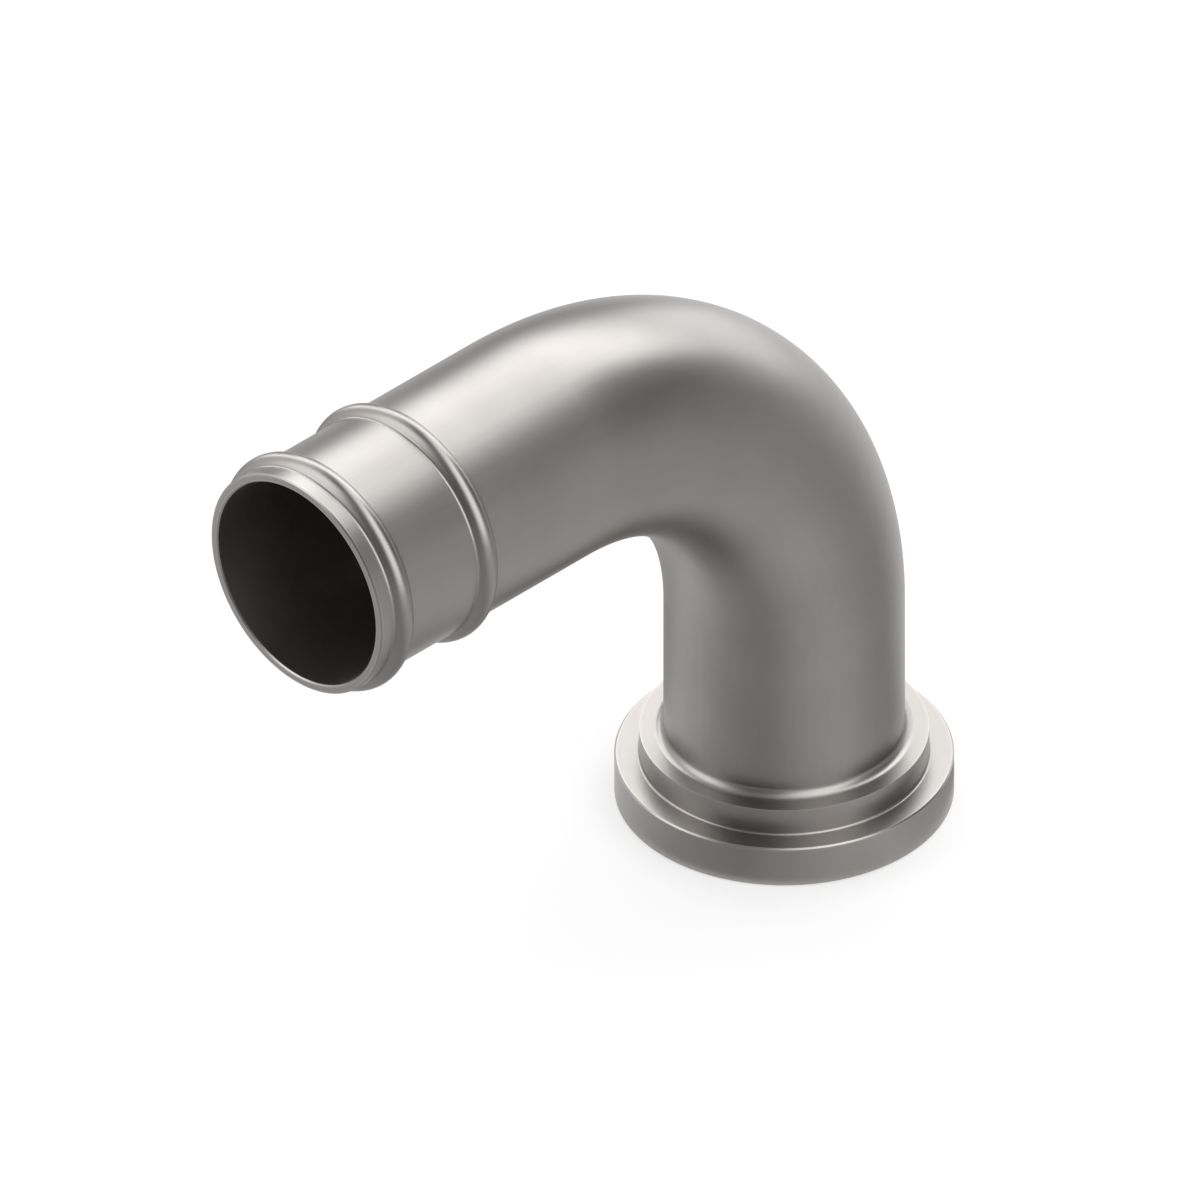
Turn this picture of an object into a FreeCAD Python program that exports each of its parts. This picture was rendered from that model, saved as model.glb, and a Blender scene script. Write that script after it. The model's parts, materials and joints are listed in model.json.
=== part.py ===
import FreeCAD, Part
import Sketcher
import math
import os

# A long-radius tube elbow for large hydraulic and suction lines, in millimetres.
# One end is a round flange head that two clamp halves pull down on a port block, with a
# seal groove in its face. The other end is a plain spigot with two raised beads, which a
# rubber hose is pushed over and clamped on. The whole elbow is one piece of steel.
#
# Frame: the origin is the centre of the flange's sealing face, +Z goes up the flange leg
# and the hose leg runs out along +X, so the XZ plane cuts the elbow into mirrored halves.

# The driving sizes: name, value, what it is.
SIZES = (
    ("tube_dia", 50.8, "outside diameter of the tube"),
    ("tube_wall", 2.0, "wall of the tube"),
    ("bend_radius", 76.2, "radius of the bend, to the tube's centreline"),
    ("flange_leg", 48.8, "straight centreline from the sealing face to the bend"),
    ("hose_leg", 68.8, "straight centreline from the bend to the hose end"),
    ("neck_step", 5.1, "how far the neck stands out past the tube"),
    ("head_lip", 5.21, "ledge where the clamp bears, from the neck to the head's rim"),
    ("head_thick", 9.53, "thickness of the flange head"),
    ("neck_rise", 6.35, "height of the neck above the head"),
    ("hub_fillet", 2.0, "radius of the fillet from the neck's top to the tube"),
    ("groove_rim", 4.06, "sealing face from the seal groove out to the head's rim"),
    ("groove_width", 4.0, "width of the seal groove"),
    ("groove_deep", 2.8, "depth of the seal groove"),
    ("bead_inset", 6.5, "hose end to the middle of the first bead"),
    ("bead_pitch", 25.0, "spacing of the beads along the spigot"),
    ("bead_rise", 2.0, "height of a bead above the tube"),
    ("bead_crest", 2.5, "radius of a bead's rounded crest"),
    ("bead_width", 6.1, "width of a bead at its feet, on the tube"),
    ("edge_break", 0.3, "chamfer that breaks the turned edges"),
)
BEAD_COUNT = 2
NODE = "flanged_elbow"

# Sizes that follow from the driving ones, as expressions on the sheet.
TUBE_RADIUS = "(sizes.tube_dia / 2)"
BORE_RADIUS = "(sizes.tube_dia / 2 - sizes.tube_wall)"
NECK_RADIUS = "(sizes.tube_dia / 2 + sizes.neck_step)"
HEAD_RADIUS = "(sizes.tube_dia / 2 + sizes.neck_step + sizes.head_lip)"
NECK_TOP = "(sizes.head_thick + sizes.neck_rise)"
GROOVE_OUTER = f"({HEAD_RADIUS} - sizes.groove_rim)"
GROOVE_INNER = f"({GROOVE_OUTER} - sizes.groove_width)"
HOSE_AXIS = "(sizes.flange_leg + sizes.bend_radius)"
HOSE_END = "(sizes.bend_radius + sizes.hose_leg)"
TUBE_TOP = f"({HOSE_AXIS} + {TUBE_RADIUS})"
BEAD_MIDDLE = f"({HOSE_END} - sizes.bead_inset)"
CREST_CENTRE = f"({TUBE_TOP} + sizes.bead_rise - sizes.bead_crest)"
BEAD_ROOT = "(sizes.tube_wall / 2)"

# Sketcher's numbers for the points of a line or arc, and for the sketch's own axes.
START, END, CENTRE = range(1, 4)
H_AXIS, V_AXIS = range(-1, -3, -1)
ORIGIN = (H_AXIS, START)
CLOSE = 1e-6


def make_sheet(doc):
    """The sheet that every sketch and feature reads its sizes from."""
    sheet = doc.addObject("Spreadsheet::Sheet", "sizes")
    for row, (name, value, meaning) in enumerate(SIZES, start=1):
        sheet.set(f"A{row}", name)
        sheet.set(f"B{row}", str(value))
        sheet.setAlias(f"B{row}", name)
        sheet.set(f"C{row}", meaning)
    doc.recompute()
    return sheet


def number(doc, expression):
    """What an expression on the sheet comes to now."""
    return float(doc.getObject("sizes").evalExpression(expression))


def new_sketch(body, name, plane):
    """An empty sketch on one of the body's origin planes."""
    sketch = body.newObject("Sketcher::SketchObject", name)
    support = next(f for f in body.Origin.OriginFeatures if f.Role == plane)
    sketch.AttachmentSupport = [(support, "")]
    sketch.MapMode = "FlatFace"
    return sketch


def new_feature(body, kind, name):
    """A PartDesign feature that becomes the body's tip."""
    feature = body.newObject(f"PartDesign::{kind}", name)
    body.Tip = feature
    return feature


def size(sketch, label, kind, where, expression):
    """Add a dimension to a sketch and tie it to the sheet."""
    value = number(sketch.Document, expression)
    index = sketch.addConstraint(Sketcher.Constraint(kind, *where, value))
    sketch.renameConstraint(index, label)
    sketch.setExpression(f"Constraints.{label}", expression)


def relate(sketch, kind, *where):
    """Add a constraint that has no size."""
    sketch.addConstraint(Sketcher.Constraint(kind, *where))


def place(sketch, label, geometry, point, across, up):
    """Hold a sketch point at two expressions from the sketch's origin. None puts it on that axis."""
    if across is None:
        relate(sketch, "PointOnObject", geometry, point, V_AXIS)
    else:
        size(sketch, f"{label}_across", "DistanceX", (*ORIGIN, geometry, point), across)
    if up is None:
        relate(sketch, "PointOnObject", geometry, point, H_AXIS)
    else:
        size(sketch, f"{label}_up", "DistanceY", (*ORIGIN, geometry, point), up)


def draw_outline(sketch, corners):
    """A closed outline of straight lines through corners given as (label, across, up)."""
    doc = sketch.Document
    points = []
    for _, across, up in corners:
        x = 0.0 if across is None else number(doc, across)
        y = 0.0 if up is None else number(doc, up)
        points.append(FreeCAD.Vector(x, y, 0))
    count = len(points)
    for i in range(count):
        sketch.addGeometry(Part.LineSegment(points[i], points[(i + 1) % count]))
    for i in range(count):
        relate(sketch, "Coincident", i, END, (i + 1) % count, START)
    for i, (label, across, up) in enumerate(corners):
        place(sketch, label, i, START, across, up)


def ring_edges(feature, radius, centre):
    """Names of a feature's round edges that have this radius about this centre."""
    names = []
    for i, edge in enumerate(feature.Shape.Edges, start=1):
        if not isinstance(edge.Curve, Part.Circle):
            continue
        same_size = abs(edge.Curve.Radius - radius) < CLOSE
        if same_size and edge.Curve.Center.distanceToPoint(centre) < CLOSE:
            names.append(f"Edge{i}")
    if not names:
        raise RuntimeError(f"no round edge of radius {radius} at {centre}")
    return names


def centreline(body):
    """Up the flange leg, round the bend, and out along the hose leg."""
    sketch = new_sketch(body, "centreline", "XZ_Plane")
    doc = body.Document
    bend = number(doc, "sizes.bend_radius")
    tangent = number(doc, "sizes.flange_leg")
    up = FreeCAD.Vector(0, 0, 1)
    middle = FreeCAD.Vector(bend, tangent, 0)
    corner = FreeCAD.Vector(0, tangent, 0)
    top = FreeCAD.Vector(bend, number(doc, HOSE_AXIS), 0)
    end = FreeCAD.Vector(number(doc, HOSE_END), number(doc, HOSE_AXIS), 0)
    flange_line = sketch.addGeometry(Part.LineSegment(FreeCAD.Vector(0, 0, 0), corner))
    arc = Part.ArcOfCircle(Part.Circle(middle, up, bend), math.pi / 2, math.pi)
    bend_arc = sketch.addGeometry(arc)
    hose_line = sketch.addGeometry(Part.LineSegment(top, end))
    relate(sketch, "Coincident", flange_line, START, *ORIGIN)
    relate(sketch, "Vertical", flange_line)
    relate(sketch, "Tangent", flange_line, END, bend_arc, END)
    relate(sketch, "Tangent", hose_line, START, bend_arc, START)
    relate(sketch, "Horizontal", hose_line)
    size(sketch, "flange_leg", "Distance", (flange_line,), "sizes.flange_leg")
    size(sketch, "bend_radius", "Radius", (bend_arc,), "sizes.bend_radius")
    size(sketch, "hose_leg", "Distance", (hose_line,), "sizes.hose_leg")
    return sketch


def round_section(body, name, radius):
    """A circle about the origin, square to the start of the centreline."""
    sketch = new_sketch(body, name, "XY_Plane")
    start = number(body.Document, radius)
    circle = Part.Circle(FreeCAD.Vector(0, 0, 0), FreeCAD.Vector(0, 0, 1), start)
    sketch.addGeometry(circle)
    relate(sketch, "Coincident", 0, CENTRE, *ORIGIN)
    size(sketch, "radius", "Radius", (0,), radius)
    return sketch


def sweep(body, kind, name, section, path):
    """Run a round section along the centreline."""
    pipe = new_feature(body, kind, name)
    pipe.Profile = (section, [""])
    pipe.Spine = (path, [f"Edge{i}" for i in range(1, path.GeometryCount + 1)])
    body.Document.recompute()
    return pipe


def spin(body, kind, name, sketch, axis):
    """Turn a sketch a full circle about one of its own axes."""
    turned = new_feature(body, kind, name)
    turned.Profile = (sketch, [""])
    turned.ReferenceAxis = (sketch, [axis])
    turned.Angle = 360
    body.Document.recompute()
    return turned


def soften(body, kind, name, names, amount):
    """Fillet or chamfer the named edges of the body's tip by an expression."""
    below = body.Tip
    edge = new_feature(body, kind, name)
    edge.Base = (below, names)
    edge.setExpression("Radius" if kind == "Fillet" else "Size", amount)
    body.Document.recompute()
    return edge


def flange_head(body):
    """The clamp head and the neck above it, turned about the flange leg's axis."""
    sketch = new_sketch(body, "head_outline", "XZ_Plane")
    corners = (
        ("face_middle", None, None),
        ("face_rim", HEAD_RADIUS, None),
        ("ledge_rim", HEAD_RADIUS, "sizes.head_thick"),
        ("ledge_foot", NECK_RADIUS, "sizes.head_thick"),
        ("neck_edge", NECK_RADIUS, NECK_TOP),
        ("neck_middle", None, NECK_TOP),
    )
    draw_outline(sketch, corners)
    return spin(body, "Revolution", "head_and_neck", sketch, "V_Axis")


def hub_fillet(body):
    """The fillet from the neck's top to the tube."""
    doc = body.Document
    neck_top = FreeCAD.Vector(0, 0, number(doc, NECK_TOP))
    hub = ring_edges(body.Tip, number(doc, TUBE_RADIUS), neck_top)
    soften(body, "Fillet", "hub_fillet", hub, "sizes.hub_fillet")


def bead_outline(body):
    """A rounded crest on two straight flanks, drawn on top of the spigot.

    Below the flanks its legs run down to the middle of the tube's wall, so that it joins
    the tube. The line along the hose leg is the axis that it is turned about.
    """
    sketch = new_sketch(body, "bead_outline", "XZ_Plane")
    doc = body.Document
    middle = number(doc, BEAD_MIDDLE)
    surface = number(doc, TUBE_TOP)
    centre = number(doc, CREST_CENTRE)
    crest = number(doc, "sizes.bead_crest")
    half = number(doc, "sizes.bead_width") / 2
    bottom = surface - number(doc, BEAD_ROOT)
    foot_reach = math.hypot(half, surface - centre)
    meet = math.atan2(surface - centre, half) + math.acos(crest / foot_reach)
    meet_across = crest * math.cos(meet)
    meet_up = centre + crest * math.sin(meet)
    circle = Part.Circle(FreeCAD.Vector(middle, centre, 0), FreeCAD.Vector(0, 0, 1), crest)
    top = sketch.addGeometry(Part.ArcOfCircle(circle, meet, math.pi - meet))

    def line(x1, y1, x2, y2):
        ends = (FreeCAD.Vector(x1, y1, 0), FreeCAD.Vector(x2, y2, 0))
        return sketch.addGeometry(Part.LineSegment(*ends))

    back = line(middle - meet_across, meet_up, middle - half, surface)
    back_leg = line(middle - half, surface, middle - half, bottom)
    floor = line(middle - half, bottom, middle + half, bottom)
    front_leg = line(middle + half, bottom, middle + half, surface)
    front = line(middle + half, surface, middle + meet_across, meet_up)
    axis = line(0, number(doc, HOSE_AXIS), number(doc, HOSE_END), number(doc, HOSE_AXIS))
    sketch.toggleConstruction(axis)

    relate(sketch, "Tangent", top, END, back, START)
    relate(sketch, "Coincident", back, END, back_leg, START)
    relate(sketch, "Coincident", back_leg, END, floor, START)
    relate(sketch, "Coincident", floor, END, front_leg, START)
    relate(sketch, "Coincident", front_leg, END, front, START)
    relate(sketch, "Tangent", front, END, top, START)
    relate(sketch, "Vertical", back_leg)
    relate(sketch, "Horizontal", floor)
    relate(sketch, "Vertical", front_leg)
    relate(sketch, "Equal", back_leg, front_leg)
    relate(sketch, "Equal", back, front)
    place(sketch, "crest", top, CENTRE, BEAD_MIDDLE, CREST_CENTRE)
    size(sketch, "foot_up", "DistanceY", (*ORIGIN, back, END), TUBE_TOP)
    size(sketch, "crest_radius", "Radius", (top,), "sizes.bead_crest")
    size(sketch, "width", "Distance", (floor,), "sizes.bead_width")
    size(sketch, "leg", "Distance", (back_leg,), BEAD_ROOT)
    place(sketch, "axis_start", axis, START, None, HOSE_AXIS)
    place(sketch, "axis_end", axis, END, HOSE_END, HOSE_AXIS)
    return sketch


def hose_beads(body):
    """The first bead turned about the hose leg, and the others repeated towards the bend."""
    sketch = bead_outline(body)
    first = spin(body, "Revolution", "first_bead", sketch, "Axis0")
    beads = new_feature(body, "LinearPattern", "beads")
    beads.Originals = [first]
    beads.Direction = (sketch, ["H_Axis"])
    beads.Reversed = True
    beads.Mode = "Spacing"
    beads.setExpression("Offset", "sizes.bead_pitch")
    beads.Occurrences = BEAD_COUNT
    body.Document.recompute()


def seal_groove(body):
    """The groove in the sealing face that holds the seal ring."""
    sketch = new_sketch(body, "groove_outline", "XZ_Plane")
    corners = (
        ("inner_edge", GROOVE_INNER, None),
        ("outer_edge", GROOVE_OUTER, None),
        ("outer_floor", GROOVE_OUTER, "sizes.groove_deep"),
        ("inner_floor", GROOVE_INNER, "sizes.groove_deep"),
    )
    draw_outline(sketch, corners)
    return spin(body, "Groove", "seal_groove", sketch, "V_Axis")


def broken_edges(body):
    """Small chamfers on the head's rim and on both ends of the tube."""
    doc = body.Document
    face = FreeCAD.Vector(0, 0, 0)
    ledge = FreeCAD.Vector(0, 0, number(doc, "sizes.head_thick"))
    hose_end = FreeCAD.Vector(number(doc, HOSE_END), 0, number(doc, HOSE_AXIS))
    rings = (
        (HEAD_RADIUS, face),
        (HEAD_RADIUS, ledge),
        (BORE_RADIUS, face),
        (TUBE_RADIUS, hose_end),
        (BORE_RADIUS, hose_end),
    )
    names = []
    for radius, centre in rings:
        names += ring_edges(body.Tip, number(doc, radius), centre)
    soften(body, "Chamfer", "broken_edges", names, "sizes.edge_break")


def cut_through(body, make_cut):
    """Make a cut and be sure that it took material away."""
    before = body.Tip.Shape.Volume
    make_cut()
    if not body.Tip.Shape.Volume < before - CLOSE:
        raise RuntimeError(f"{body.Tip.Name} cut nothing")


def build_elbow(doc):
    """The whole elbow as one body."""
    body = doc.addObject("PartDesign::Body", NODE)
    body.Label = NODE
    path = centreline(body)
    outside = round_section(body, "tube_outside", TUBE_RADIUS)
    sweep(body, "AdditivePipe", "tube", outside, path)
    flange_head(body)
    hub_fillet(body)
    hose_beads(body)
    inside = round_section(body, "tube_inside", BORE_RADIUS)
    cut_through(body, lambda: sweep(body, "SubtractivePipe", "passage", inside, path))
    cut_through(body, lambda: seal_groove(body))
    cut_through(body, lambda: broken_edges(body))
    return body


def check_document(doc):
    """Stop if any object failed or any sketch is left loose."""
    for item in doc.Objects:
        if "Invalid" in item.State or "Error" in item.State:
            raise RuntimeError(f"{item.Name} failed: {item.State}")
        if item.TypeId == "Sketcher::SketchObject" and item.solve() != 0:
            raise RuntimeError(f"sketch {item.Name} doesn't solve")


def check_shape(body):
    """Stop if the body isn't one sound closed solid."""
    shape = body.Shape
    if shape.isNull() or not shape.isValid() or len(shape.Solids) != 1:
        raise RuntimeError(f"{body.Label} isn't one valid solid")


def main():
    doc = FreeCAD.newDocument("flanged_elbow_model")
    make_sheet(doc)
    body = build_elbow(doc)
    doc.recompute()
    check_document(doc)
    check_shape(body)
    os.makedirs("parts", exist_ok=True)
    body.Shape.exportStep(os.path.join("parts", f"{body.Label}.step"))
    solid = body.Shape.Solids[0]
    print(f"{body.Label}: {solid.Volume:.1f} mm3, centre of mass {solid.CenterOfMass}")


main()
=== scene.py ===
import json
import math

import bpy
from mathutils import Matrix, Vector


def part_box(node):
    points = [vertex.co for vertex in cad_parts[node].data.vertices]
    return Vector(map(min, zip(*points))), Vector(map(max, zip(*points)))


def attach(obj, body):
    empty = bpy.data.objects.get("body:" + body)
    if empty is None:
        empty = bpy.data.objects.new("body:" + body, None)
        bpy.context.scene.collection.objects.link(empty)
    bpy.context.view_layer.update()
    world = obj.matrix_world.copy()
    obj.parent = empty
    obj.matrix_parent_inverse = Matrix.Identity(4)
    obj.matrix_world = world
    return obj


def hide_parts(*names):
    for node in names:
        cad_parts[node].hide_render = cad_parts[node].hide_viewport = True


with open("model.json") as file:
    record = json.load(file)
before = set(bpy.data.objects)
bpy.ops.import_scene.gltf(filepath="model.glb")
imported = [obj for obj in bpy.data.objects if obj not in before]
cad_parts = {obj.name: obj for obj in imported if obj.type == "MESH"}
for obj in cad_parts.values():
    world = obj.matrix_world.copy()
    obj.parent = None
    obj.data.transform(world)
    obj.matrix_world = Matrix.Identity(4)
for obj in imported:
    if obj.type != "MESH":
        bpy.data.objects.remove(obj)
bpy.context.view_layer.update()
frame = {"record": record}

# The looks of a steel tube elbow with a clamp flange head and a beaded hose spigot.
# Lengths are in metres, in the part's own frame: +Z goes up the flange leg from the centre
# of the sealing face, and the hose leg runs out along +X.

NODE = "flanged_elbow"
BODY = "root"
MM = 0.001

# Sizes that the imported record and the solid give.
mounts = {mount["name"]: mount for mount in frame["record"]["mounts"]}
low_corner, high_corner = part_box(NODE)
HEAD_RADIUS = mounts["flange_rim"]["dims"]["r_mm"] * MM
NECK_RADIUS = mounts["clamp_neck"]["dims"]["r_mm"] * MM
TUBE_RADIUS = mounts["hose_spigot"]["dims"]["r_mm"] * MM
HEAD_THICK = mounts["clamp_ledge"]["pos_m"][2]
GROOVE_DEEP = mounts["seal_groove"]["pos_m"][2]
HOSE_AXIS = mounts["hose_spigot"]["pos_m"][2]
HOSE_END = high_corner.x

# The other sizes of the form.
TUBE_WALL = 2.0 * MM
BEND_RADIUS = 76.2 * MM
NECK_RISE = 6.35 * MM
HUB_FILLET = 2.0 * MM
ROOT_FILLET = 0.5 * MM
GROOVE_RIM = 4.06 * MM
GROOVE_WIDTH = 4.0 * MM
GROOVE_CORNER = 0.4 * MM
BEAD_INSET = 6.5 * MM
BEAD_PITCH = 25.0 * MM
BEAD_COUNT = 2
BEAD_RISE = 2.0 * MM
BEAD_CREST = 2.5 * MM
BEAD_ROOT = 0.8 * MM
EDGE_BREAK = 0.3 * MM

BORE_RADIUS = TUBE_RADIUS - TUBE_WALL
NECK_TOP = HEAD_THICK + NECK_RISE
GROOVE_OUTER = HEAD_RADIUS - GROOVE_RIM
GROOVE_INNER = GROOVE_OUTER - GROOVE_WIDTH
FLANGE_LEG = HOSE_AXIS - BEND_RADIUS
BEND_LENGTH = BEND_RADIUS * math.pi / 2
HOSE_START = FLANGE_LEG + BEND_LENGTH
LENGTH = HOSE_START + HOSE_END - BEND_RADIUS

# How finely the mesh follows the form.
AROUND = 192
BEND_STEPS = 96
LEG_STEPS = 6
ARC_STEP = math.radians(5)
SHARP_ANGLE = math.radians(28)

# Points of the outline that are nearer than this are one.
SAME_POINT = 1e-7

# The setting of the weighted normals at which the largest face beside a point decides.
LARGEST_FACE_WINS = 100

# The steel: its colours, the roughness of each finish, and how far that varies either way.
STEEL_COLOUR = (0.302, 0.289, 0.279)
# The bore's colour is painted light: the same steel made lighter than outside, so that more light
# bounces deep into the bore.
BORE_LIGHTENED_COLOUR = (0.465, 0.434, 0.411)
TURNED_ROUGHNESS = 0.34
DRAWN_ROUGHNESS = 0.36
BORE_ROUGHNESS = 0.35
GLOSS_SPREAD = 0.012

# Its noises, with scales for lengths in metres. The tones multiply the colour. The lines are
# LINE_HEIGHT as high as the grain, and HEIGHT_SPAN is where the two together mostly lie.
CLOUD_SCALE = 40.0
GRAIN_SCALE = 1400.0
TURNED_SCALE = 2200.0
DRAWN_SCALE = 900.0
NOISE_SPAN = (0.3, 0.7)
CLOUD_TONES = (0.95, 1.05)
LINE_TONES = (0.985, 1.015)
LINE_HEIGHT = 0.5
HEIGHT_SPAN = (0.45, 1.05)
BUMP_STRENGTH = 0.06
BUMP_HEIGHT = 0.02 * MM

# How much lengths along the tube shrink for the drawn marks' noise, which draws it out into lines.
DRAWN_STRETCH = 0.03

# How far the rubbed edges reach into the faces beside them, and how bright they are.
WEAR_WIDTH = 0.6 * MM
WEAR_TONE = 1.15

# The camera looks along a true isometric. VIEW_SIZE is the width of its picture, and VIEW_RIGHT
# and VIEW_UP are how far the middle of the picture is from the part's origin.
CAMERA_DIRECTION = Vector((1, 1, 1)).normalized()
CAMERA_RIGHT = Vector((-1, 1, 0)).normalized()
CAMERA_UP = CAMERA_DIRECTION.cross(CAMERA_RIGHT)
VIEW_SIZE = 252.1 * MM
VIEW_RIGHT = -38.70 * MM
VIEW_UP = 39.52 * MM
CAMERA_DISTANCE = 1.0
CAMERA_NEAR = 0.01
CAMERA_FAR = 20.0

# The middle of the object, which the lamps face, and how far off they stand.
MIDDLE = (Vector(low_corner) + Vector(high_corner)) / 2
STUDIO_RADIUS = 1.3

# The floor, and how much of its white is its own. The world lights less than it shows.
FLOOR_RADIUS = 1.25
FLOOR_CORNERS = 96
FLOOR_DROP = 0.2 * MM
FLOOR_WHITE = (0.9, 0.9, 0.9, 1)
FLOOR_GLOW = 0.6
WHITE = (1, 1, 1, 1)
WORLD_LIGHT = 0.55

# Soft boxes: name, azimuth and elevation, width and height, and brightness. The angles are in
# degrees, and the width and height are what the object sees.
SOFT_BOXES = (
    ("key_box", -152, 43, 62, 28, 2.8),
    ("low_box", -166, 9, 36, 24, 1.15),
    ("back_box", -100, 27, 20, 44, 1.9),
    ("right_box", -34, 26, 34, 56, 1.6),
    ("left_box", 86, 34, 44, 60, 1.5),
    ("top_box", 138, 70, 44, 30, 1.35),
)

# Cards that only reflections show: name, azimuth from and to, elevation from and to, and tone.
CARD_RADIUS = 0.97 * STUDIO_RADIUS
CARD_STEPS = 12
CARDS = (
    ("front_card", -6, 48, 0, 90, 0.18),
    ("top_card", -135, -6, 68, 90, 0.05),
    ("side_card", 114, 172, 18, 54, 0.12),
    ("low_card", 116, 164, 0, 18, 0.4),
    ("back_card", -142, -110, 0, 26, 0.3),
)

# The ring of greys just above the floor, as azimuth and tone. It too is seen only by reflections.
RING_START = HEAD_RADIUS + 1.5 * MM
RING_RISE = 0.3 * MM
RING_STEPS = 36
RING_TONES = (
    (-180, 1.0),
    (-130, 1.0),
    (-100, 0.5),
    (-80, 0.52),
    (-57, 0.95),
    (-30, 0.85),
    (0, 0.56),
    (30, 0.45),
    (60, 0.72),
    (90, 0.85),
    (115, 0.68),
    (145, 0.5),
    (165, 0.75),
    (180, 1.0),
)


def station_frame(station):
    """Centre of the tube at a distance along its centreline, and the way out of the bend there."""
    if station <= FLANGE_LEG:
        return Vector((0, 0, station)), Vector((-1, 0, 0))
    if station >= HOSE_START:
        along = BEND_RADIUS + station - HOSE_START
        return Vector((along, 0, HOSE_AXIS)), Vector((0, 0, 1))
    turn = (station - FLANGE_LEG) / BEND_RADIUS
    outward = Vector((-math.cos(turn), 0, math.sin(turn)))
    return Vector((BEND_RADIUS, 0, FLANGE_LEG)) + BEND_RADIUS * outward, outward


def arc_points(station, radius, size, start, end):
    """Points of an arc in the outline, from one angle to another. Angle 0 points along the tube."""
    steps = max(2, round(abs(end - start) / ARC_STEP))
    points = []
    for i in range(steps + 1):
        angle = start + (end - start) * i / steps
        points.append((station + size * math.cos(angle), radius + size * math.sin(angle)))
    return points


def straight(start, end, steps):
    """Evenly spaced points between two, without the two themselves."""
    points = []
    for i in range(1, steps):
        share = i / steps
        points.append(tuple(a + (b - a) * share for a, b in zip(start, end)))
    return points


def groove_outline():
    """The seal groove in the sealing face, from its inner edge to its outer edge."""
    floor = GROOVE_DEEP - GROOVE_CORNER
    inner = arc_points(floor, GROOVE_INNER + GROOVE_CORNER, GROOVE_CORNER, -math.pi / 2, 0)
    outer = arc_points(floor, GROOVE_OUTER - GROOVE_CORNER, GROOVE_CORNER, 0, math.pi / 2)
    return [(0, GROOVE_INNER), *inner, *outer, (0, GROOVE_OUTER)]


def head_outline():
    """The flange head's rim, the clamp ledge and the neck with its hub fillet."""
    root_station = HEAD_THICK + ROOT_FILLET
    root_radius = NECK_RADIUS + ROOT_FILLET
    root = arc_points(root_station, root_radius, ROOT_FILLET, math.pi, 1.5 * math.pi)
    hub_station = NECK_TOP + HUB_FILLET
    hub = arc_points(hub_station, TUBE_RADIUS + HUB_FILLET, HUB_FILLET, math.pi, 1.5 * math.pi)
    rim = [
        (0, HEAD_RADIUS - EDGE_BREAK),
        (EDGE_BREAK, HEAD_RADIUS),
        (HEAD_THICK - EDGE_BREAK, HEAD_RADIUS),
        (HEAD_THICK, HEAD_RADIUS - EDGE_BREAK),
    ]
    return [*rim, *root, (NECK_TOP, NECK_RADIUS), *hub]


def bead_outline(middle):
    """One raised bead: a fillet up, a rounded crest and a fillet down."""
    centre = TUBE_RADIUS + BEAD_RISE - BEAD_CREST
    root_centre = TUBE_RADIUS + BEAD_ROOT
    reach = BEAD_CREST + BEAD_ROOT
    lean = math.asin((root_centre - centre) / reach)
    half = reach * math.cos(lean)
    rise = arc_points(middle - half, root_centre, BEAD_ROOT, -math.pi / 2, -lean)
    crest = arc_points(middle, centre, BEAD_CREST, math.pi - lean, lean)
    fall = arc_points(middle + half, root_centre, BEAD_ROOT, math.pi + lean, 1.5 * math.pi)
    return [*rise, *crest[1:-1], *fall]


def tube_outline(radius, start, end):
    """The plain tube between two stations, with a ring at every step of the bend."""
    points = [(start, radius)]
    if start < FLANGE_LEG:
        points += straight((start, radius), (FLANGE_LEG, radius), LEG_STEPS)
        for i in range(BEND_STEPS + 1):
            points.append((FLANGE_LEG + BEND_LENGTH * i / BEND_STEPS, radius))
        start = HOSE_START
    points += straight((start, radius), (end, radius), LEG_STEPS)
    return [*points, (end, radius)]


def whole_outline():
    """The closed outline as (station, radius, finish).

    It goes out over the sealing face, along the outside and back through the bore.
    """
    middles = [LENGTH - BEAD_INSET - BEAD_PITCH * i for i in reversed(range(BEAD_COUNT))]
    beads = [bead_outline(middle) for middle in middles]
    outline = []

    def add(points, finish):
        """Puts points in the outline, apart from one that repeats the last."""
        for point in points:
            if outline and math.dist(point, outline[-1][:2]) < SAME_POINT:
                continue
            outline.append((*point, finish))

    add([(EDGE_BREAK, BORE_RADIUS)], "bore")
    add([(0, BORE_RADIUS + EDGE_BREAK), *groove_outline()], "head")
    add(head_outline(), "head")
    start = NECK_TOP + HUB_FILLET
    for bead in beads:
        add(tube_outline(TUBE_RADIUS, start, bead[0][0]), "tube")
        add(bead, "spigot")
        start = bead[-1][0]
    add(tube_outline(TUBE_RADIUS, start, LENGTH - EDGE_BREAK), "spigot")
    add([(LENGTH, TUBE_RADIUS - EDGE_BREAK), (LENGTH, BORE_RADIUS + EDGE_BREAK)], "spigot")
    add([(LENGTH - EDGE_BREAK, BORE_RADIUS)], "spigot")
    add(tube_outline(BORE_RADIUS, EDGE_BREAK, LENGTH - EDGE_BREAK)[::-1][:-1], "bore")
    return outline


def stands_out(before, point, after):
    """Whether the outline has an edge at a point that hands and tools rub."""
    way_in = Vector(point[:2]) - Vector(before[:2])
    way_out = Vector(after[:2]) - Vector(point[:2])
    return way_in.angle_signed(way_out) > SHARP_ANGLE


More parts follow.
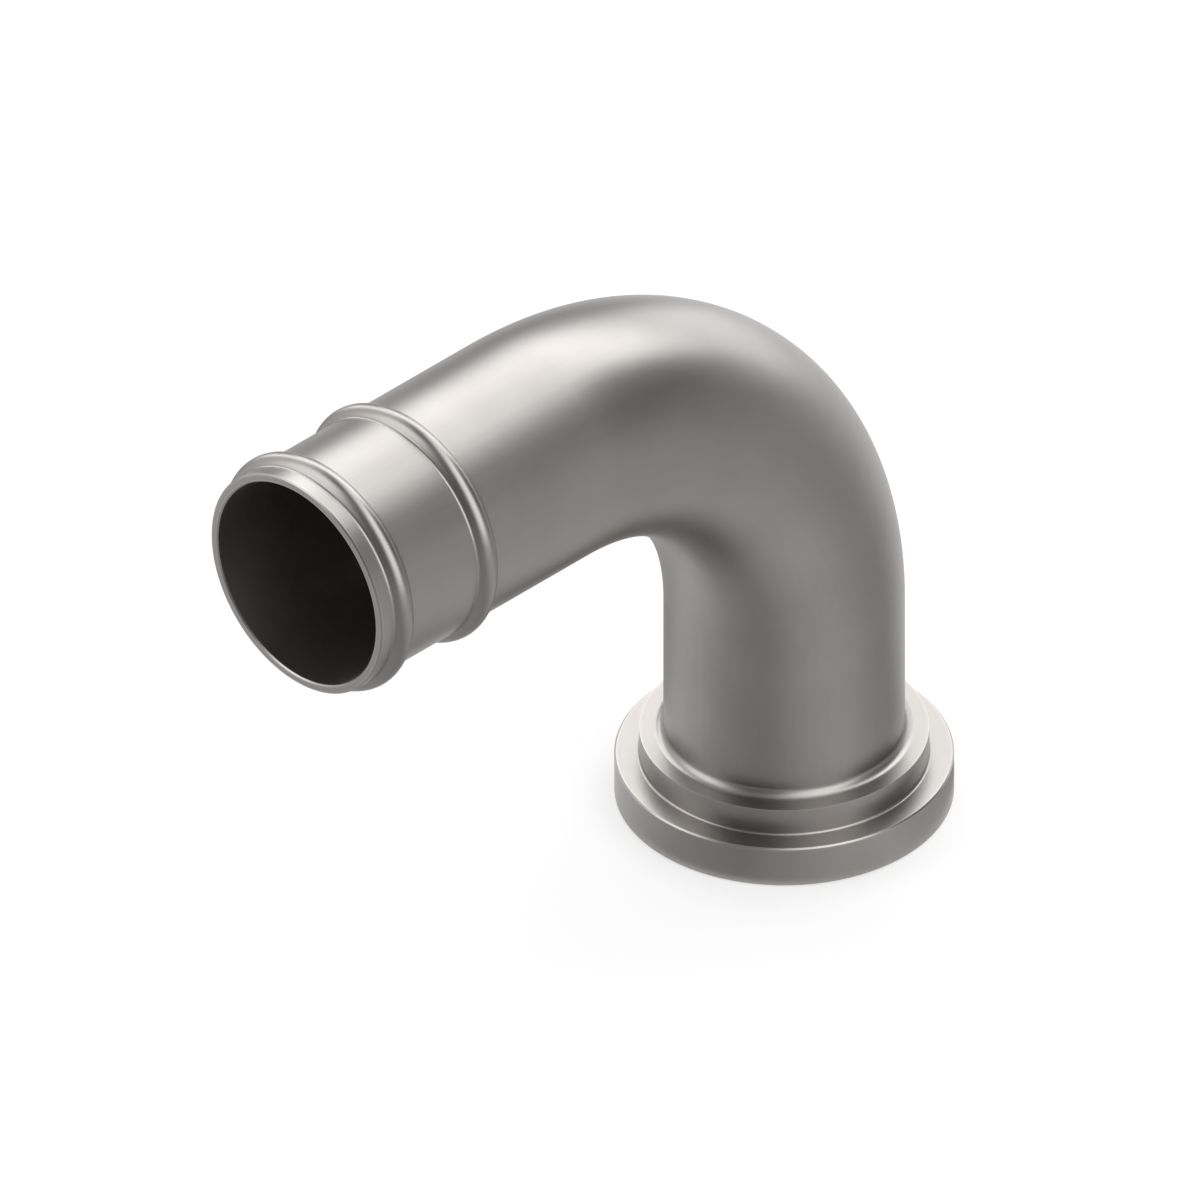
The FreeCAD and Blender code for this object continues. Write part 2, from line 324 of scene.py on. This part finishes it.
def worn_outline():
    """The outline as (station, radius, finish, wear). The wear fades out a little way off each edge."""
    outline = whole_outline()
    count = len(outline)
    worn = [stands_out(outline[i - 1], outline[i], outline[(i + 1) % count]) for i in range(count)]
    points = []
    for i in range(count):
        after = (i + 1) % count
        start, end = Vector(outline[i][:2]), Vector(outline[after][:2])
        finish = outline[after][2]
        points.append((*outline[i], float(worn[i])))
        span = end - start
        if span.length > 2 * WEAR_WIDTH:
            margin = span.normalized() * WEAR_WIDTH
            if worn[i]:
                points.append((*(start + margin), finish, 0.0))
            if worn[after]:
                points.append((*(end - margin), finish, 0.0))
    return points


def elbow_mesh(materials):
    """The elbow as one closed skin of rings, each square to the centreline."""
    outline = worn_outline()
    vertices = []
    drawn = []
    turned = []
    worn = []
    for station, radius, _, wear in outline:
        centre, outward = station_frame(station)
        for k in range(AROUND):
            angle = math.tau * k / AROUND
            across, aside = radius * math.cos(angle), radius * math.sin(angle)
            vertices.append(centre + outward * across + Vector((0, aside, 0)))
            drawn += [across, aside, station * DRAWN_STRETCH]
            turned.append(station + radius)
            worn.append(wear)
    faces = []
    finishes = []
    for i in range(len(outline)):
        ring = i * AROUND
        after = (i + 1) % len(outline) * AROUND
        for k in range(AROUND):
            beside = (k + 1) % AROUND
            faces.append((ring + k, after + k, after + beside, ring + beside))
            finishes.append(outline[(i + 1) % len(outline)][2])
    mesh = bpy.data.meshes.new("elbow_skin")
    mesh.from_pydata(vertices, [], faces)
    names = list(materials)
    for name in names:
        mesh.materials.append(materials[name])
    mesh.polygons.foreach_set("material_index", [names.index(f) for f in finishes])
    mesh.polygons.foreach_set("use_smooth", [True] * len(faces))
    mesh.attributes.new("drawn", "FLOAT_VECTOR", "POINT").data.foreach_set("vector", drawn)
    mesh.attributes.new("turned", "FLOAT", "POINT").data.foreach_set("value", turned)
    mesh.attributes.new("worn", "FLOAT", "POINT").data.foreach_set("value", worn)
    mesh.set_sharp_from_angle(angle=SHARP_ANGLE)
    mesh.update()
    return mesh


def build_elbow(materials):
    """The skin as a piece that stands for the solid."""
    piece = bpy.data.objects.new("elbow_skin", elbow_mesh(materials))
    bpy.context.scene.collection.objects.link(piece)
    weighted = piece.modifiers.new("even_normals", "WEIGHTED_NORMAL")
    weighted.keep_sharp = True
    weighted.weight = LARGEST_FACE_WINS
    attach(piece, BODY)
    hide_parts(NODE)


class Nodes:
    """Short calls for building a shader's nodes."""

    def __init__(self, owner):
        owner.use_nodes = True
        self.tree = owner.node_tree
        self.tree.nodes.clear()

    def add(self, kind, **settings):
        """A new node with its properties and its sockets' values set by name."""
        node = self.tree.nodes.new(kind)
        for name, value in settings.items():
            if hasattr(node, name):
                setattr(node, name, value)
            else:
                node.inputs[name.replace("_", " ")].default_value = value
        return node

    def link(self, source, output, target, entry):
        """A wire from one node's output to another's entry."""
        self.tree.links.new(source.outputs[output], target.inputs[entry])

    def maths(self, operation, first, second):
        """A maths node on two values, each a number or a (node, output) pair."""
        node = self.add("ShaderNodeMath", operation=operation)
        for i, value in enumerate((first, second)):
            if isinstance(value, tuple):
                self.link(*value, node, i)
            else:
                node.inputs[i].default_value = value
        return node, 0


def noise(nodes, source, output, **settings):
    """A noise texture at a coordinate, as a (node, output) pair."""
    texture = nodes.add("ShaderNodeTexNoise", **settings)
    entry = "W" if texture.noise_dimensions == "1D" else "Vector"
    nodes.link(source, output, texture, entry)
    return texture, "Fac"


def remap(nodes, value, ends, results):
    """A value taken from one span to another, and held at the ends."""
    node = nodes.add("ShaderNodeMapRange")
    nodes.link(*value, node, "Value")
    node.inputs["From Min"].default_value, node.inputs["From Max"].default_value = ends
    node.inputs["To Min"].default_value, node.inputs["To Max"].default_value = results
    return node, "Result"


def steel(name, roughness, base, marks):
    """Satin steel in a base colour. Its finest marks are rings from turning or lines from drawing."""
    material = bpy.data.materials.new(name)
    nodes = Nodes(material)
    output = nodes.add("ShaderNodeOutputMaterial")
    shader = nodes.add("ShaderNodeBsdfPrincipled", Metallic=1.0)
    nodes.link(shader, "BSDF", output, "Surface")

    place = nodes.add("ShaderNodeTexCoord")
    lay = nodes.add("ShaderNodeAttribute", attribute_name=marks)
    cloud = noise(nodes, place, "Object", Scale=CLOUD_SCALE, Detail=3.0, Roughness=0.55)
    grain = noise(nodes, place, "Object", Scale=GRAIN_SCALE, Detail=2.0, Roughness=0.5)
    if marks == "turned":
        lines = noise(nodes, lay, "Fac", noise_dimensions="1D", Scale=TURNED_SCALE, Detail=2.0)
    else:
        lines = noise(nodes, lay, "Vector", Scale=DRAWN_SCALE, Detail=3.0, Roughness=0.6)

    spots = remap(nodes, cloud, NOISE_SPAN, CLOUD_TONES)
    streaks = remap(nodes, lines, NOISE_SPAN, LINE_TONES)
    edges = nodes.add("ShaderNodeAttribute", attribute_name="worn")
    wear = remap(nodes, (edges, "Fac"), (0.0, 1.0), (1.0, WEAR_TONE))
    shade = nodes.maths("MULTIPLY", nodes.maths("MULTIPLY", spots, streaks), wear)
    colour = nodes.add("ShaderNodeVectorMath", operation="SCALE")
    colour.inputs[0].default_value = base
    nodes.link(*shade, colour, "Scale")
    nodes.link(colour, "Vector", shader, "Base Color")

    height = nodes.maths("ADD", grain, nodes.maths("MULTIPLY", lines, LINE_HEIGHT))
    spread = (roughness - GLOSS_SPREAD, roughness + GLOSS_SPREAD)
    gloss = remap(nodes, height, HEIGHT_SPAN, spread)
    nodes.link(*gloss, shader, "Roughness")
    bump = nodes.add("ShaderNodeBump", Strength=BUMP_STRENGTH, Distance=BUMP_HEIGHT)
    nodes.link(*height, bump, "Height")
    nodes.link(bump, "Normal", shader, "Normal")
    return material


def direction(azimuth, elevation):
    """The way from the object at an azimuth from +X towards +Y, and an elevation above level."""
    a, e = math.radians(azimuth), math.radians(elevation)
    return Vector((math.cos(e) * math.cos(a), math.cos(e) * math.sin(a), math.sin(e)))


def seen_white(nodes):
    """1 for the rays that show the background: the camera's, and those that gloss and glass pass on."""
    rays = nodes.add("ShaderNodeLightPath")
    seen = nodes.maths("MAXIMUM", (rays, "Is Camera Ray"), (rays, "Is Glossy Ray"))
    return nodes.maths("MAXIMUM", seen, (rays, "Is Transmission Ray"))


def floor_material():
    """White to the eye, with part of its brightness left to the lamps, so that it keeps the shadow.

    From below it is clear, so that the sealing face can be looked at.
    """
    material = bpy.data.materials.new("studio_floor")
    nodes = Nodes(material)
    output = nodes.add("ShaderNodeOutputMaterial")
    matt = nodes.add("ShaderNodeBsdfDiffuse", Color=FLOOR_WHITE)
    glow = nodes.add("ShaderNodeEmission", Color=WHITE, Strength=1.0)
    share = nodes.maths("MULTIPLY", seen_white(nodes), FLOOR_GLOW)
    mix = nodes.add("ShaderNodeMixShader")
    nodes.link(*share, mix, "Fac")
    nodes.link(matt, "BSDF", mix, 1)
    nodes.link(glow, "Emission", mix, 2)
    clear = nodes.add("ShaderNodeBsdfTransparent")
    side = nodes.add("ShaderNodeNewGeometry")
    one_sided = nodes.add("ShaderNodeMixShader")
    nodes.link(side, "Backfacing", one_sided, "Fac")
    nodes.link(mix, "Shader", one_sided, 1)
    nodes.link(clear, "BSDF", one_sided, 2)
    nodes.link(one_sided, "Shader", output, "Surface")
    material.cycles.emission_sampling = "NONE"
    return material


def build_floor():
    """A round white floor under the sealing face. It ends inside the lamps, which light all of it."""
    mesh = bpy.data.meshes.new("floor")
    corners = [FLOOR_RADIUS * direction(360 * k / FLOOR_CORNERS, 0) for k in range(FLOOR_CORNERS)]
    mesh.from_pydata(corners, [], [tuple(range(FLOOR_CORNERS))])
    mesh.materials.append(floor_material())
    floor = bpy.data.objects.new("floor", mesh)
    floor.location.z = -FLOOR_DROP
    bpy.context.scene.collection.objects.link(floor)


def build_world():
    """An even white surround that lights the scene less than it shows."""
    world = bpy.data.worlds.new("studio")
    bpy.context.scene.world = world
    nodes = Nodes(world)
    output = nodes.add("ShaderNodeOutputWorld")
    background = nodes.add("ShaderNodeBackground", Color=WHITE)
    level = nodes.add("ShaderNodeMapRange")
    level.inputs["To Min"].default_value = WORLD_LIGHT
    level.inputs["To Max"].default_value = 1.0
    nodes.link(*seen_white(nodes), level, "Value")
    nodes.link(level, "Result", background, "Strength")
    nodes.link(background, "Background", output, "Surface")
    world.cycles.sampling_method = "NONE"


def build_lamps():
    """Soft boxes that all face the middle of the object."""
    for name, azimuth, elevation, width, height, brightness in SOFT_BOXES:
        light = bpy.data.lights.new(name, "AREA")
        light.shape = "RECTANGLE"
        light.size = 2 * STUDIO_RADIUS * math.tan(math.radians(width / 2))
        light.size_y = 2 * STUDIO_RADIUS * math.tan(math.radians(height / 2))
        light.energy = brightness * math.pi * light.size * light.size_y
        lamp = bpy.data.objects.new(name, light)
        way = direction(azimuth, elevation)
        lamp.location = MIDDLE + STUDIO_RADIUS * way
        lamp.rotation_euler = way.to_track_quat("Z", "Y").to_euler()
        lamp.visible_camera = False
        bpy.context.scene.collection.objects.link(lamp)


def card_material(name):
    """A material that glows in its colour in any light, with its nodes and its glow node."""
    material = bpy.data.materials.new(name)
    nodes = Nodes(material)
    output = nodes.add("ShaderNodeOutputMaterial")
    glow = nodes.add("ShaderNodeEmission", Strength=1.0)
    nodes.link(glow, "Emission", output, "Surface")
    material.cycles.emission_sampling = "NONE"
    return material, nodes, glow


def ring_material():
    """The ring's greys, which pass smoothly from one azimuth to the next."""
    material, nodes, glow = card_material("ground_ring")
    place = nodes.add("ShaderNodeTexCoord")
    turn = nodes.add("ShaderNodeTexGradient", gradient_type="RADIAL")
    ramp = nodes.add("ShaderNodeValToRGB")
    nodes.link(place, "Object", turn, "Vector")
    nodes.link(turn, "Fac", ramp, "Fac")
    nodes.link(ramp, "Color", glow, "Color")
    stops = ramp.color_ramp.elements
    for azimuth, _ in RING_TONES[1:-1]:
        stops.new((azimuth + 180) / 360)
    for stop, (_, tone) in zip(stops, RING_TONES):
        stop.color = (tone, tone, tone, 1)
    return material


def build_card(name, material, centre, place, steps):
    """A card of steps by steps faces that reflections alone see. place maps two shares to a point."""
    vertices = []
    for i in range(steps + 1):
        for k in range(steps + 1):
            vertices.append(place(i / steps, k / steps))
    faces = []
    for i in range(steps):
        for k in range(steps):
            corner = i * (steps + 1) + k
            faces.append((corner, corner + 1, corner + steps + 2, corner + steps + 1))
    mesh = bpy.data.meshes.new(name)
    mesh.from_pydata(vertices, [], faces)
    mesh.materials.append(material)
    card = bpy.data.objects.new(name, mesh)
    card.location = centre
    card.visible_camera = False
    card.visible_diffuse = False
    card.visible_shadow = False
    card.visible_transmission = False
    bpy.context.scene.collection.objects.link(card)


def build_cards():
    """Cards that give the metal its dark and grey bands."""
    for name, start, end, low, high, tone in CARDS:
        material, _, glow = card_material(name)
        glow.inputs["Color"].default_value = (tone, tone, tone, 1)

        def on_dome(i, k):
            """A point of the card, from its share of the azimuths and of the elevations."""
            return CARD_RADIUS * direction(start + (end - start) * i, low + (high - low) * k)

        build_card(name, material, (MIDDLE.x, MIDDLE.y, 0), on_dome, CARD_STEPS)

    def on_ring(i, k):
        """A point of the ring, from its share of the turn and of the way out."""
        return (RING_START + (CARD_RADIUS - RING_START) * k) * direction(360 * i, 0)

    build_card("ground_ring", ring_material(), (0, 0, RING_RISE), on_ring, RING_STEPS)


def build_camera():
    """An orthographic camera on the true isometric, framed as the object was pictured."""
    data = bpy.data.cameras.new("camera")
    data.type = "ORTHO"
    data.ortho_scale = VIEW_SIZE
    data.clip_start = CAMERA_NEAR
    data.clip_end = CAMERA_FAR
    camera = bpy.data.objects.new("camera", data)
    aim = CAMERA_RIGHT * VIEW_RIGHT + CAMERA_UP * VIEW_UP
    camera.location = aim + CAMERA_DIRECTION * CAMERA_DISTANCE
    camera.rotation_euler = CAMERA_DIRECTION.to_track_quat("Z", "Y").to_euler()
    bpy.context.scene.collection.objects.link(camera)
    bpy.context.scene.camera = camera


finishes = {
    "head": steel("turned_head", TURNED_ROUGHNESS, STEEL_COLOUR, "turned"),
    "tube": steel("drawn_tube", DRAWN_ROUGHNESS, STEEL_COLOUR, "drawn"),
    "spigot": steel("turned_spigot", TURNED_ROUGHNESS, STEEL_COLOUR, "turned"),
    # The bore's lighter colour is painted light, not a different steel.
    "bore": steel("drawn_bore", BORE_ROUGHNESS, BORE_LIGHTENED_COLOUR, "drawn"),
}
build_elbow(finishes)
build_floor()
build_world()
build_lamps()
build_cards()
build_camera()
bpy.context.scene.view_settings.view_transform = "Standard"
